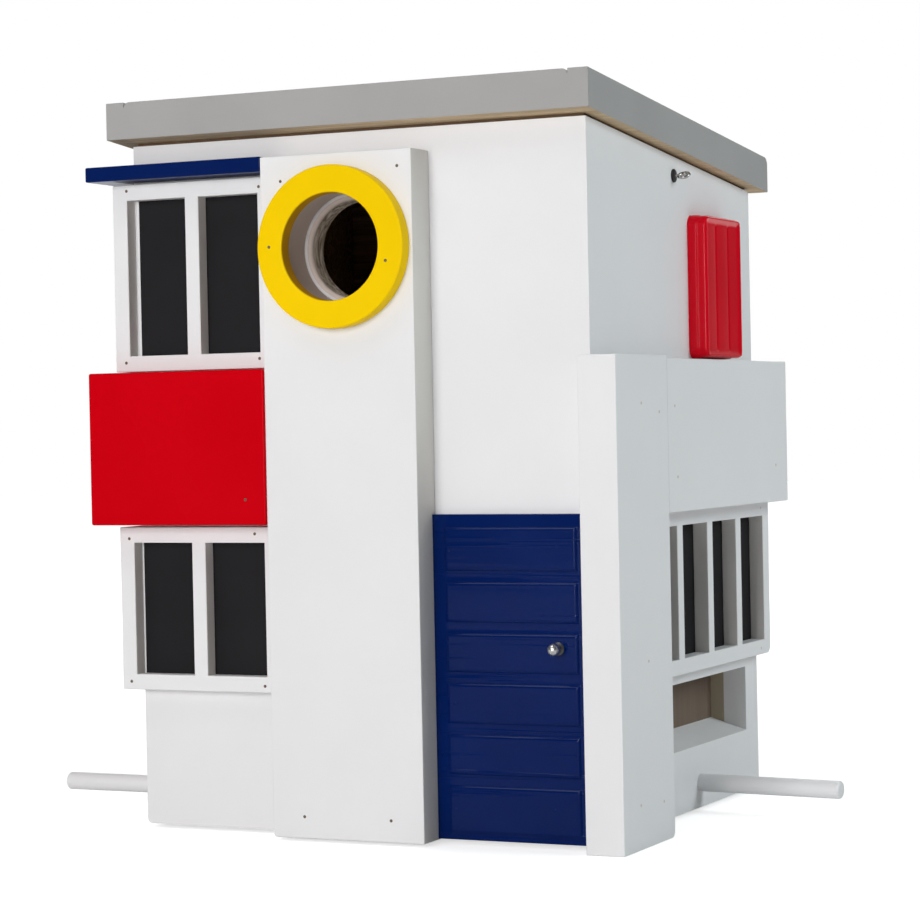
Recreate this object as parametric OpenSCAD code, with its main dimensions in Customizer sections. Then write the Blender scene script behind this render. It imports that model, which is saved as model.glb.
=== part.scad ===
// A painted wooden nest box, built like a small flat-fronted house.
// Millimetres. +Z is up, the front faces -Y and the right side faces +X.
// The origin is on the ground, under the middle of the walls.

/* [Body] */
// Width of the body across the front, outside the walls
body_w = 217.5; // [180:0.5:300]
// Depth of the body from front wall to back wall, outside
body_d = 200; // [170:0.5:280]
// Height of the front wall
front_h = 302.5; // [270:0.5:360]
// How much lower the wall tops are at the back than at the front
roof_fall = 18.5; // [0:0.5:30]
// Thickness of the four walls
wall_t = 11; // [9:0.5:15]
// Thickness of the floor board
floor_t = 9; // [6:0.5:9]
// Height of the wall bottoms above the ground
wall_lift = 1.7; // [0:0.1:4]
// Open shadow line along the top outer edge of the walls
shadow_gap = 1.5; // [0.5:0.1:2]

/* [Roof] */
// Thickness of the plywood roof board
roof_board_t = 9; // [6:0.5:14]
// Height of the roof fascias
fascia_h = 16.3; // [15:0.1:30]
// Thickness of the roof fascias
fascia_t = 9; // [6:0.5:14]
// Height that the side fascias stand above the front and back ones
fascia_step = 0; // [0:0.1:3]
// Roof overhang at the front
over_front = 10; // [10:0.5:30]
// Roof overhang at the back
over_back = 12; // [10:0.5:30]
// Roof overhang on the left
over_left = 7.5; // [5:0.5:30]
// Roof overhang on the right
over_right = 5.5; // [5:0.5:30]

/* [Front boards] */
// Thickness of the tall board, the balcony boards, the canopy depth and the corner post
board_t = 17; // [12:0.5:22]
// Width of the tall board in the middle of the front
tall_w = 72; // [66:0.5:90]
// How far the tall board and the entrance stand to the right of the middle
tall_x = 0.7; // [-3:0.1:3]
// Distance from the roof down to the top of the tall board
tall_drop = 11.7; // [5:0.1:20]
// Height of the tall board's foot above the ground
tall_foot = 1.4; // [0:0.1:4]
// Thickness of the front board of the left-hand balcony
red_t = 18; // [14:0.5:22]
// How far the left-hand balcony and canopy stand out from the left wall
left_board_t = 14.8; // [12:0.1:22]
// Height of the left-hand balcony
red_h = 67; // [50:0.5:90]
// Gap under the left-hand balcony and under the canopy
board_gap = 1.2; // [0.5:0.1:2]
// Thickness of the canopy from top to bottom
canopy_t = 6.5; // [6:0.5:14]
// Gap between the canopy and the roof at the canopy's back end
canopy_gap = 3.2; // [2.5:0.1:8]

/* [Entrance] */
// Radius of the entrance hole through the front wall
entrance_r = 21; // [14:0.5:22]
// Radius of the hole in the tall board
tall_hole_r = 24; // [22:0.5:26]
// Inner radius of the entrance ring
ring_in_r = 22.75; // [15:0.25:23]
// Outer radius of the entrance ring
ring_out_r = 34.5; // [28:0.25:36]
// Thickness of the entrance ring
ring_t = 6.5; // [4:0.5:10]
// Distance from the roof down to the middle of the entrance
entrance_drop = 51.6; // [46:0.1:70]

/* [Windows] */
// Thickness of the window frames
frame_t = 7; // [5:0.5:10]
// Width of a frame's upright ends
stile_w = 7.3; // [4:0.1:10]
// Width of a frame's top and bottom strips
rail_w = 6.9; // [4:0.1:10]
// Width of the bars between the panes
bar_w = 6.8; // [4:0.1:10]
// Number of panes in each window of two storeys
window_panes = 2; // [1:1:4]
// Gap between the left recess and the lower windows above it
lower_win_gap = 2.2; // [0.5:0.1:6]
// Height of the lower front window
lower_win_h = 72; // [60:0.5:90]
// Gap between the left-hand balcony and the upper windows above it
stack_gap = 0.5; // [0.3:0.1:1]
// Thickness of the dark sheets let into the walls behind the frames
sheet_t = 2; // [1:0.5:3]
// White lip left between the corner and the upper front window's dark sheet
upper_lip = 2.2; // [1:0.1:5]
// White lip left between the corner and the lower front window's dark sheet
lower_lip = 1; // [1:0.1:5]
// Distance from the middle of the left side to the back end of its windows, balcony and canopy
left_win_gap = 13.25; // [13:0.25:40]
// Width of the windows on the back
back_win_w = 80; // [60:0.5:100]

/* [Door] */
// Thickness of the door's board
door_t = 3.5; // [2:0.5:5]
// Height that the door's panels stand above its board
panel_rise = 1; // [0.5:0.5:3]
// Height of the door's foot above the ground
door_foot = 2; // [0:0.1:4]
// Height of the door
door_h = 137; // [110:0.5:160]
// Number of panels in the door, one above the other
door_panels = 6; // [2:1:8]
// Plain margin beside and above the door's panels
door_margin = 5.5; // [3:0.5:10]
// Plain margin under the lowest of the door's panels
door_foot_margin = 3; // [1:0.5:10]
// Gap between two panels of the door
panel_gap = 4.5; // [2:0.5:8]
// Radius of the door knob's ball
knob_r = 2.7; // [2:0.1:5]
// Distance from the door's face to the middle of the knob's ball
knob_reach = 5; // [4.5:0.1:8]
// Radius of the door knob's stem
knob_stem_r = 1.2; // [0.8:0.1:2]
// Radius of the knob's round foot
knob_foot_r = 2.7; // [2.2:0.1:5]
// Thickness of the knob's round foot
knob_foot_t = 0.8; // [0.5:0.1:2]
// Height of the door knob above the ground
knob_z = 83.3; // [60:0.1:100]
// Distance from the door's right edge to the knob
knob_inset = 14.8; // [12:0.1:25]

/* [Right side] */
// How far the corner post reaches above the balcony
post_step = 1.1; // [0:0.1:20]
// Width of the corner post along the right side
post_w = 58; // [40:0.5:65]
// How far the corner post stands in front of the front wall
post_front = 14.5; // [10:0.5:17]
// Height of the right-hand balcony board
balcony_h = 65.7; // [40:0.1:80]
// Height of the slatted window
slat_win_h = 72.2; // [60:0.1:90]
// Width of the slatted window's upright beside the corner post
slat_stile_w = 4; // [3:0.1:10]
// Width of the slatted window's upright at the back
slat_end_w = 8.5; // [4:0.1:12]
// Number of panes in the slatted window
slat_panes = 4; // [3:1:6]
// Width of the fluted shutter
shutter_w = 47; // [40:0.5:60]
// Thickness of the fluted shutter
shutter_t = 9; // [5:0.5:10]
// Number of grooves in the shutter
shutter_grooves = 2; // [1:1:6]
// Plain border above and below the shutter's grooves
shutter_border = 5; // [3:0.5:10]
// Width of a groove in the shutter
groove_w = 2; // [1:0.5:4]
// Gap between the balcony and the shutter's foot
shutter_gap = 1; // [0.5:0.5:10]
// Distance from the roof down to the shutter at its back edge
shutter_drop = 20.5; // [5:0.1:25]
// Distance from the back of the body to the shutter
shutter_back_gap = 37; // [5:0.5:45]

/* [Side recesses] */
// Height of the recess's opening
recess_h = 30; // [20:0.5:40]
// Height of the recess's sill above the ground
recess_z = 29.8; // [28:0.1:40]
// Gap between the recess and the slatted window above it
recess_gap = 5.4; // [2:0.1:10]
// Distance from the corner post to the right recess
recess_post_gap = 14; // [5:0.5:30]
// Distance from the back of the body to the right recess
recess_back_gap = 17; // [13:0.5:40]
// Length of the recess on the left side
left_recess_w = 56; // [40:0.5:65]
// Distance from the front of the body to the middle of the left recess and its perch
left_recess_from_front = 42.5; // [42:0.5:90]
// Thickness of the inner board around the recess
liner_t = 6.5; // [4:0.5:9]
// How far the inner board reaches above the recess
liner_edge = 10; // [6:0.5:12]
// Thickness of the board that closes the recess
recess_back_t = 4; // [3:0.5:8]
// Rise of the sloping sill from its outer to its inner edge
sill_rise = 5.5; // [3:0.5:12]

/* [Perches and eyes] */
// Radius of the perches
perch_r = 4; // [3:0.25:4.5]
// Length of a perch outside the wall
perch_len = 68.5; // [40:0.5:90]
// Height of the middle of the perches above the ground
perch_z = 12.9; // [11:0.1:18]
// Distance from the roof down to the hanging eyes
eye_drop = 10; // [6:0.5:30]
// Radius of the hole in a hanging eye
eye_hole_r = 1.6; // [1:0.1:3]
// Radius of the eye's wire
eye_wire_r = 0.75; // [0.5:0.05:1.5]
// Length of the eye's shank outside the wall
eye_shank = 3.1; // [2:0.1:8]
// Length of the eye's thread inside the wall
shank_in = 8; // [5:0.5:8]
// How far the eye is turned about its shank, from upright
eye_turn = 65; // [0:5:90]
// Radius of the washer under the eye
washer_r = 3; // [2:0.1:5]
// Thickness of the washer under the eye
washer_t = 0.8; // [0.5:0.1:1.5]

/* [Hidden] */

$fn = 64;
half_w = body_w / 2;
half_d = body_d / 2;
left_col_w = half_w + tall_x - tall_w / 2;    // width of the front's left and right columns
right_col_w = half_w - tall_x - tall_w / 2;
front_win_w = left_col_w + frame_t;
left_win_w = half_d - left_win_gap;
recess_depth = wall_t + liner_t;

// The left and front storeys stand on each other, from the recess up to the canopy
lower_win_z = recess_z + recess_h + lower_win_gap;
red_z = lower_win_z + lower_win_h + board_gap;
upper_win_z = red_z + red_h + stack_gap;
canopy_z = top_z(left_win_w - half_d) - canopy_gap - canopy_t;
upper_win_h = canopy_z - board_gap - upper_win_z;

// The right side's storeys stand on each other, from the recess up to the shutter
slat_win_w = body_d - (post_w - post_front);
slat_win_z = recess_z + recess_h + recess_gap;
balcony_z = slat_win_z + slat_win_h;
balcony_top = balcony_z + balcony_h;
post_h = balcony_top + post_step;
post_back = post_w - post_front - half_d;     // y of the corner post's back edge
shutter_z = balcony_top + shutter_gap;
shutter_y = half_d - shutter_back_gap - shutter_w / 2;
shutter_h = top_z(half_d - shutter_back_gap) - shutter_drop - shutter_z;

// Places of the recesses, of the perches under their middles and of the round holes
right_recess_w = slat_win_w - recess_post_gap - recess_back_gap;
right_recess_y = post_back + recess_post_gap + right_recess_w / 2;
left_recess_y = half_d - left_recess_from_front;
entrance_z = top_z(-half_d) - entrance_drop;
eye_z = top_z(0) - eye_drop;
eye_r = eye_hole_r + eye_wire_r;

white = "white";
red = "crimson";
blue = "midnightblue";
dark = [0.15, 0.15, 0.16];
raw_wood = "tan";

// Height of the wall tops at a place between front and back
function top_z(y) = wall_lift + front_h - roof_fall * (y + half_d) / body_d;

// A block between x0 and x1 whose bottom and top follow the fall of the roof
module falling_block(x0, x1, y0, y1, low, high)
    translate([x0, 0, 0])
    rotate([90, 0, 90])
    linear_extrude(x1 - x0)
    polygon([
        [y0, top_z(y0) + low], [y1, top_z(y1) + low],
        [y1, top_z(y1) + high], [y0, top_z(y0) + high]
    ]);

// An upright wall block from the wall bottoms up to the falling wall tops
module wall_block(x0, x1, y0, y1)
    translate([x0, 0, 0])
    rotate([90, 0, 90])
    linear_extrude(x1 - x0)
    polygon([[y0, wall_lift], [y1, wall_lift], [y1, top_z(y1)], [y0, top_z(y0)]]);

// Puts a child drawn on a front wall, with x along it and its face at y = 0, on one side of the body
module on_side(side)
    if (side == "front") translate([0, -half_d, 0]) children();
    else if (side == "back") translate([0, half_d, 0]) rotate(180) children();
    else if (side == "left") translate([-half_w, 0, 0]) rotate(-90) children();
    else translate([half_w, 0, 0]) rotate(90) children();

// A window frame standing proud of the wall, its left end at x = 0 and its foot at z = 0,
// with a stile of its own width at each end and bars between the panes
module frame(w, h, panes, left_stile, right_stile) {
    pane_w = (w - left_stile - right_stile - (panes - 1) * bar_w) / panes;
    difference() {
        translate([0, -frame_t, 0]) cube([w, frame_t, h]);
        for (i = [0 : panes - 1])
            translate([left_stile + i * (pane_w + bar_w), -frame_t - 1, rail_w])
                cube([pane_w, frame_t + 2, h - 2 * rail_w]);
    }
}

// The dark sheet behind a frame from x0 to x1, or with y0 below 0 the pocket that holds it
module sheet(x0, x1, h, y0)
    translate([x0, y0, rail_w / 2])
    cube([x1 - x0, sheet_t - y0, h - rail_w]);

// The places of the windows: each runs a block over its left end and foot
module at_front_upper() on_side("front") translate([-half_w - frame_t, 0, upper_win_z]) children();
module at_front_lower() on_side("front") translate([-half_w - frame_t, 0, lower_win_z]) children();
module at_left_upper() on_side("left") translate([half_d - left_win_w, 0, upper_win_z]) children();
module at_left_lower() on_side("left") translate([half_d - left_win_w, 0, lower_win_z]) children();
module at_back_upper() on_side("back") translate([-back_win_w / 2, 0, upper_win_z - roof_fall]) children();
module at_back_lower() on_side("back") translate([-back_win_w / 2, 0, lower_win_z]) children();
module at_slatted() on_side("right") translate([post_back, 0, slat_win_z]) children();

// The dark sheets of each side, or with y0 below 0 their pockets
module front_sheets(y0) {
    at_front_upper() sheet(frame_t + upper_lip, front_win_w - stile_w / 2, upper_win_h, y0);
    at_front_lower() sheet(frame_t + lower_lip, front_win_w - stile_w / 2, lower_win_h, y0);
}
module left_sheets(y0) {
    at_left_upper() sheet(stile_w / 2, left_win_w - stile_w / 2, upper_win_h, y0);
    at_left_lower() sheet(stile_w / 2, left_win_w - stile_w / 2, lower_win_h, y0);
}
module back_sheets(y0) {
    at_back_upper() sheet(stile_w / 2, back_win_w - stile_w / 2, upper_win_h, y0);
    at_back_lower() sheet(stile_w / 2, back_win_w - stile_w / 2, lower_win_h, y0);
}
module slatted_sheet(y0)
    at_slatted() sheet(slat_stile_w / 2, slat_win_w - slat_end_w / 2, slat_win_h, y0);

// The opening of a side recess through a board from y0 to y1, centred at x = 0
module recess_hole(w, y0, y1)
    translate([-w / 2, y0, recess_z]) cube([w, y1 - y0, recess_h]);

// The round hole along the entrance's axis
module entrance_hole(r, y0, y1)
    translate([tall_x, y0, entrance_z]) rotate([-90, 0, 0]) cylinder(h = y1 - y0, r = r);

// Rebate that leaves a shadow line under the roof
module shadow_rebate() {
    falling_block(-half_w - 1, half_w + 1, -half_d - 1, -half_d + shadow_gap, -shadow_gap, 2);
    falling_block(-half_w - 1, half_w + 1, half_d - shadow_gap, half_d + 1, -shadow_gap, 2);
    falling_block(-half_w - 1, -half_w + shadow_gap, -half_d - 1, half_d + 1, -shadow_gap, 2);
    falling_block(half_w - shadow_gap, half_w + 1, -half_d - 1, half_d + 1, -shadow_gap, 2);
}

module front_wall() color(white)
    difference() {
        wall_block(-half_w, half_w, -half_d, -half_d + wall_t);
        shadow_rebate();
        translate([0, -half_d, 0]) entrance_hole(entrance_r, -1, wall_t + 1);
        front_sheets(-1);
        left_sheets(-1);
    }

module back_wall() color(white)
    difference() {
        wall_block(-half_w, half_w, half_d - wall_t, half_d);
        shadow_rebate();
        back_sheets(-1);
        slatted_sheet(-1);
    }

// Bore for a perch or an eye through a side wall, along its own axis from y0 to y1
module side_bore(r, y0, y1) translate([0, y0, 0]) rotate([-90, 0, 0]) cylinder(h = y1 - y0, r = r);

module left_wall() color(white)
    difference() {
        wall_block(-half_w, -half_w + wall_t, -half_d + wall_t, half_d - wall_t);
        shadow_rebate();
        left_sheets(-1);
        on_side("left") {
            translate([left_recess_y, 0, 0]) recess_hole(left_recess_w, -1, wall_t + 1);
            translate([left_recess_y, 0, perch_z]) side_bore(perch_r, -1, wall_t + 1);
            translate([0, 0, eye_z]) side_bore(eye_wire_r, -1, shank_in);
        }
    }

module right_wall() color(white)
    difference() {
        wall_block(half_w - wall_t, half_w, -half_d + wall_t, half_d - wall_t);
        shadow_rebate();
        slatted_sheet(-1);
        on_side("right") {
            translate([right_recess_y, 0, 0]) recess_hole(right_recess_w, -1, wall_t + 1);
            translate([right_recess_y, 0, perch_z]) side_bore(perch_r, -1, wall_t + 1);
            translate([0, 0, eye_z]) side_bore(eye_wire_r, -1, shank_in);
        }
    }

module floor_board() color(raw_wood)
    translate([-half_w + wall_t, -half_d + wall_t, 0])
    cube([body_w - 2 * wall_t, body_d - 2 * wall_t, floor_t]);

roof_x0 = -half_w - over_left;
roof_x1 = half_w + over_right;
roof_y0 = -half_d - over_front;
roof_y1 = half_d + over_back;

module roof_board() color(raw_wood)
    falling_block(roof_x0 + fascia_t, roof_x1 - fascia_t, roof_y0 + fascia_t, roof_y1 - fascia_t,
        0, roof_board_t);

module roof_front_fascia() color("darkgray")
    falling_block(roof_x0 + fascia_t, roof_x1 - fascia_t, roof_y0, roof_y0 + fascia_t, 0, fascia_h);

module roof_back_fascia() color("darkgray")
    falling_block(roof_x0 + fascia_t, roof_x1 - fascia_t, roof_y1 - fascia_t, roof_y1, 0, fascia_h);

module roof_left_fascia() color("gray")
    falling_block(roof_x0, roof_x0 + fascia_t, roof_y0, roof_y1, 0, fascia_h + fascia_step);

module roof_right_fascia() color("gray")
    falling_block(roof_x1 - fascia_t, roof_x1, roof_y0, roof_y1, 0, fascia_h + fascia_step);

module tall_front_board() color(white)
    on_side("front")
    difference() {
        translate([tall_x - tall_w / 2, -board_t, tall_foot])
            cube([tall_w, board_t, top_z(-half_d) - tall_drop - tall_foot]);
        entrance_hole(tall_hole_r, -board_t - 1, 1);
    }

module entrance_ring() color("gold")
    on_side("front")
    difference() {
        entrance_hole(ring_out_r, -board_t - ring_t, -board_t);
        entrance_hole(ring_in_r, -board_t - ring_t - 1, -board_t + 1);
    }

module blue_canopy_front() color(blue)
    on_side("front")
    translate([-half_w - left_board_t, -board_t, canopy_z])
    cube([left_col_w + left_board_t, board_t, canopy_t]);

module blue_canopy_left() color(blue)
    on_side("left")
    translate([half_d - left_win_w, -left_board_t, canopy_z])
    cube([left_win_w, left_board_t, canopy_t]);

module front_upper_window_frame() color(white)
    at_front_upper() frame(front_win_w, upper_win_h, window_panes, stile_w, stile_w);

module front_lower_window_frame() color(white)
    at_front_lower() frame(front_win_w, lower_win_h, window_panes, stile_w, stile_w);

module front_window_sheets() color(dark) front_sheets(0);

module left_upper_window_frame() color(white)
    at_left_upper() frame(left_win_w, upper_win_h, window_panes, stile_w, stile_w);

module left_lower_window_frame() color(white)
    at_left_lower() frame(left_win_w, lower_win_h, window_panes, stile_w, stile_w);

module left_window_sheets() color(dark) left_sheets(0);

module back_upper_window_frame() color(white)
    at_back_upper() frame(back_win_w, upper_win_h, window_panes, stile_w, stile_w);

module back_lower_window_frame() color(white)
    at_back_lower() frame(back_win_w, lower_win_h, window_panes, stile_w, stile_w);

module back_window_sheets() color(dark) back_sheets(0);

module front_red_board() color(red)
    on_side("front")
    translate([-half_w - left_board_t, -red_t, red_z])
    cube([left_col_w + left_board_t, red_t, red_h]);

module left_red_board() color(red)
    on_side("left")
    translate([half_d - left_win_w, -left_board_t, red_z])
    cube([left_win_w, left_board_t, red_h]);

panel_h = (door_h - door_margin - door_foot_margin + panel_gap) / door_panels - panel_gap;

module blue_door() color(blue)
    on_side("front")
    translate([tall_x + tall_w / 2, -door_t, door_foot]) {
        cube([right_col_w, door_t, door_h]);
        for (i = [0 : door_panels - 1])
            translate([door_margin, -panel_rise, door_foot_margin + i * (panel_h + panel_gap)])
                cube([right_col_w - 2 * door_margin, panel_rise, panel_h]);
    }

module door_knob() color("silver")
    on_side("front")
    translate([half_w - knob_inset, -door_t - panel_rise, knob_z]) {
        rotate([90, 0, 0]) cylinder(h = knob_foot_t, r = knob_foot_r);
        rotate([90, 0, 0]) cylinder(h = knob_reach, r = knob_stem_r);
        translate([0, -knob_reach, 0]) sphere(r = knob_r);
    }

module corner_post() color(white)
    translate([half_w, -half_d - post_front, 0])
    cube([board_t, post_w, post_h]);

module right_balcony_board() color(white)
    on_side("right")
    translate([post_back, -board_t, balcony_z])
    cube([slat_win_w, board_t, balcony_h]);

module slatted_window_frame() color(white)
    at_slatted() frame(slat_win_w, slat_win_h, slat_panes, slat_stile_w, slat_end_w);

module slatted_window_sheet() color(dark) slatted_sheet(0);

// A fluted shutter centred at x = 0 with its foot at z = 0
module shutter() {
    pitch = shutter_w / (shutter_grooves + 1);
    difference() {
        translate([-shutter_w / 2, -shutter_t, 0]) cube([shutter_w, shutter_t, shutter_h]);
        for (i = [1 : shutter_grooves])
            translate([-shutter_w / 2 + i * pitch - groove_w / 2, -shutter_t - 1, shutter_border])
                cube([groove_w, 1 + groove_w / 2, shutter_h - 2 * shutter_border]);
    }
}

module right_red_shutter() color(red)
    on_side("right") translate([shutter_y, 0, shutter_z]) shutter();

module left_red_shutter() color(red)
    on_side("left") translate([-shutter_y, 0, shutter_z]) shutter();

// A board inside a side wall, from front wall to back wall and from the floor to above the recess
module inner_board(y0, y1)
    translate([-half_d + wall_t, y0, floor_t])
    cube([body_d - 2 * wall_t, y1 - y0, recess_z + recess_h + liner_edge - floor_t]);

// The inner board with the recess's opening in it, centred at x
module recess_liner(x, w)
    difference() {
        inner_board(wall_t, recess_depth);
        translate([x, 0, 0]) recess_hole(w, wall_t - 1, recess_depth + 1);
    }

// A wedge that slopes up from the wall's face to the closing board
module recess_sill(w)
    translate([-w / 2, 0, recess_z])
    rotate([90, 0, 90])
    linear_extrude(w)
    polygon([[0, 0], [recess_depth, 0], [recess_depth, sill_rise]]);

module right_recess_liner() color(raw_wood)
    on_side("right") recess_liner(right_recess_y, right_recess_w);

module right_recess_sill() color(white)
    on_side("right") translate([right_recess_y, 0, 0]) recess_sill(right_recess_w);

module right_recess_back() color(raw_wood)
    on_side("right") inner_board(recess_depth, recess_depth + recess_back_t);

module left_recess_liner() color(raw_wood)
    on_side("left") recess_liner(left_recess_y, left_recess_w);

module left_recess_sill() color(white)
    on_side("left") translate([left_recess_y, 0, 0]) recess_sill(left_recess_w);

module left_recess_back() color(raw_wood)
    on_side("left") inner_board(recess_depth, recess_depth + recess_back_t);

// A dowel that sticks out from a wall and fills its bore
module perch() side_bore(perch_r, -perch_len, wall_t);

module right_perch() color(white)
    on_side("right") translate([right_recess_y, 0, perch_z]) perch();

module left_perch() color(white)
    on_side("left") translate([left_recess_y, 0, perch_z]) perch();

// A screw eye with its washer, the eye in line with the shank and turned about it
module eye_screw() {
    side_bore(eye_wire_r, -eye_shank, shank_in);
    side_bore(washer_r, -washer_t, 0);
    translate([0, -eye_shank - eye_r + eye_wire_r / 2, 0])
        rotate([0, 90 + eye_turn, 0])
        rotate_extrude() translate([eye_r, 0]) circle(r = eye_wire_r);
}

module right_eye_screw() color("silver") on_side("right") translate([0, 0, eye_z]) eye_screw();
module left_eye_screw() color("silver") on_side("left") translate([0, 0, eye_z]) eye_screw();

front_wall();
back_wall();
left_wall();
right_wall();
floor_board();
roof_board();
roof_front_fascia();
roof_back_fascia();
roof_left_fascia();
roof_right_fascia();
tall_front_board();
entrance_ring();
blue_canopy_front();
blue_canopy_left();
front_upper_window_frame();
front_lower_window_frame();
front_window_sheets();
front_red_board();
left_red_board();
blue_door();
door_knob();
left_upper_window_frame();
left_lower_window_frame();
left_window_sheets();
back_upper_window_frame();
back_lower_window_frame();
back_window_sheets();
corner_post();
right_balcony_board();
slatted_window_frame();
slatted_window_sheet();
right_red_shutter();
left_red_shutter();
right_recess_liner();
right_recess_sill();
right_recess_back();
left_recess_liner();
left_recess_sill();
left_recess_back();
right_perch();
left_perch();
right_eye_screw();
left_eye_screw();
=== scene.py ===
"""A painted wooden nest box like a small flat-fronted house: its boards, its paint and its stage.

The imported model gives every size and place. The axes are its own: +Z is up, the front faces -Y
and the right side faces +X.
"""

import math

import bmesh
import bpy
from mathutils import Matrix, Vector


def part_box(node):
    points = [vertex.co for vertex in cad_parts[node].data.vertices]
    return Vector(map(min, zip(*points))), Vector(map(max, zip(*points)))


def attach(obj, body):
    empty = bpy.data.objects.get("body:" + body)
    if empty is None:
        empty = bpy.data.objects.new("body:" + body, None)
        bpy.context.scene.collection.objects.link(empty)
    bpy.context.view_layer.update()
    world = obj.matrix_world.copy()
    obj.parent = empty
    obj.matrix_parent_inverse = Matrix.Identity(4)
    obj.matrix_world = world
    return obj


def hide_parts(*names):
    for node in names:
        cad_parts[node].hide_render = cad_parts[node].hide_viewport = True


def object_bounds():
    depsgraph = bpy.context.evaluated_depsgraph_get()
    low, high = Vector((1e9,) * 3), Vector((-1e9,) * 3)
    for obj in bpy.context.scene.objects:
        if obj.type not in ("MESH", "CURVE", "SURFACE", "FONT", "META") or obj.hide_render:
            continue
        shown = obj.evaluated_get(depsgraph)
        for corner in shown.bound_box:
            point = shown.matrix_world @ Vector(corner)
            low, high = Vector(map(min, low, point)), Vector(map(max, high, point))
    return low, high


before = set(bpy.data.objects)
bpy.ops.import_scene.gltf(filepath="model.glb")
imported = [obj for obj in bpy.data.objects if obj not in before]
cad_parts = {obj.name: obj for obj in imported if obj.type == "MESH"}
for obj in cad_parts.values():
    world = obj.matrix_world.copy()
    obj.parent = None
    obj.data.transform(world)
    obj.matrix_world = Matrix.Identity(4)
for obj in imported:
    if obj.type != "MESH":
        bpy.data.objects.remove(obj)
CAD_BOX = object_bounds()

bl_info = {
    "name": "Nest Box House",
    "version": (1, 0, 0),
    "blender": (4, 5, 0),
    "location": "3D View > Sidebar > Nest Box",
    "description": "Builds a painted nest box with windows, a door and shutters",
    "category": "Object",
}

MM = 0.001
X, Y, Z = 0, 1, 2
TOUCH = 0.02 * MM

# The body's outside faces and the walls' thickness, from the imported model
WALL_LOW, WALL_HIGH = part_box("front_wall")
HALF_W = WALL_HIGH.x
FRONT = WALL_LOW.y
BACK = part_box("back_wall")[1].y
WALL_T = WALL_HIGH.y - WALL_LOW.y


def linear(code):
    """A linear colour with alpha, from an sRGB hex value."""
    parts = [int(code[i : i + 2], 16) / 255 for i in (0, 2, 4)]
    low = [p / 12.92 if p <= 0.04045 else ((p + 0.055) / 1.055) ** 2.4 for p in parts]
    return (*low, 1.0)


def shade(colour, factor):
    """The same colour, lighter or darker by a factor."""
    return (*[min(1.0, c * factor) for c in colour[:3]], 1.0)


# ---- Sizes and colours a user would change --------------------------------------------------


def length(name, description, millimetres):
    """A size in metres that is shown with its unit."""
    return bpy.props.FloatProperty(
        name=name,
        description=description,
        default=millimetres * MM,
        min=0.0,
        precision=5,
        subtype="DISTANCE",
        unit="LENGTH",
    )


def colour(name, description, code):
    """A paint or wood colour, given as sRGB hex."""
    return bpy.props.FloatVectorProperty(
        name=name,
        description=description,
        default=linear(code),
        size=4,
        min=0.0,
        max=1.0,
        subtype="COLOR",
    )


class NestBoxSizes(bpy.types.PropertyGroup):
    """Sizes of the details that the boards and fittings carry."""

    ease: length("Eased edge", "Radius sanded on the edges of the boards", 0.5)
    roof_end: length("Roof end", "Radius at the top ends of the front and back roof edges", 2.6)
    roof_corner: length("Roof back corner", "Radius at the top back corners of the roof edges", 3.2)
    foot_corner: length("Foot corner", "Radius at the foot of the walls' left corner", 2.4)
    board_corner: length("Board corner", "Radius at the tall board's lower left corner", 1.6)
    post_corner: length("Post corner", "Radius at the foot of the corner post's back edge", 3.0)
    frame_corner: length("Frame corner", "Radius at the slatted window's lower back corner", 4.0)
    panel_bevel: length("Panel bevel", "Width of the bevel round a door panel", 1.6)
    panel_rise: length("Panel rise", "Height of a door panel above the door's board", 1.0)
    shutter_bevel: length("Shutter bevel", "Width of the moulded edge round a shutter", 5.0)
    shutter_corner: length("Shutter corner", "Radius at a shutter's four corners", 4.8)
    bore_lip: length("Entrance lip", "Radius worn on the wall's edge of the entrance hole", 1.9)
    pin_head: length("Pin head", "Radius of the panel pins' heads", 0.7)
    perch_end: length("Perch end", "Radius sanded on the end of a perch", 1.1)


class NestBoxColours(bpy.types.PropertyGroup):
    """Colours of the paints, the bare wood and the metal."""

    white: colour("White paint", "Satin white on the walls and frames", "E8E7E8")
    grey: colour("Grey paint", "Matt grey round the roof", "A6A4A3")
    blue: colour("Blue paint", "Gloss dark blue on the door and canopy", "001A54")
    red: colour("Red paint", "Gloss red on the left balcony", "CB0010")
    shutter: colour("Shutter paint", "Gloss red on the shutters", "D6061F")
    yellow: colour("Yellow paint", "Satin yellow on the entrance ring", "F5CB03")
    glazing: colour("Window sheet", "Dark sheet behind the windows", "232224")
    plywood: colour("Plywood", "Bare plywood under the roof and inside", "C8AF8B")
    inner: colour("Inner boards", "Stained boards behind the recesses", "6E5E50")
    steel: colour("Steel", "Plated steel of the knob and the eyes", "C9C8C6")


def sizes():
    return bpy.context.scene.nest_box_sizes


def colours():
    return bpy.context.scene.nest_box_colours


# ---- Materials ------------------------------------------------------------------------------


def add(tree, kind, inputs=None, **settings):
    """Adds one node with its settings, and gives its sockets a value or a link."""
    made = tree.nodes.new(kind)
    for key, value in settings.items():
        setattr(made, key, value)
    for key, value in (inputs or {}).items():
        if isinstance(value, bpy.types.NodeSocket):
            tree.links.new(value, made.inputs[key])
        else:
            made.inputs[key].default_value = value
    return made


def new_material(name, **values):
    """A named material with one Principled shader, and the place on the object in metres."""
    material = bpy.data.materials.new(name)
    material.use_nodes = True
    tree = material.node_tree
    tree.nodes.clear()
    shader = add(tree, "ShaderNodeBsdfPrincipled", values)
    output = add(tree, "ShaderNodeOutputMaterial")
    tree.links.new(shader.outputs["BSDF"], output.inputs["Surface"])
    place = add(tree, "ShaderNodeTexCoord").outputs["Object"]
    return material, tree, shader, place


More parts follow.
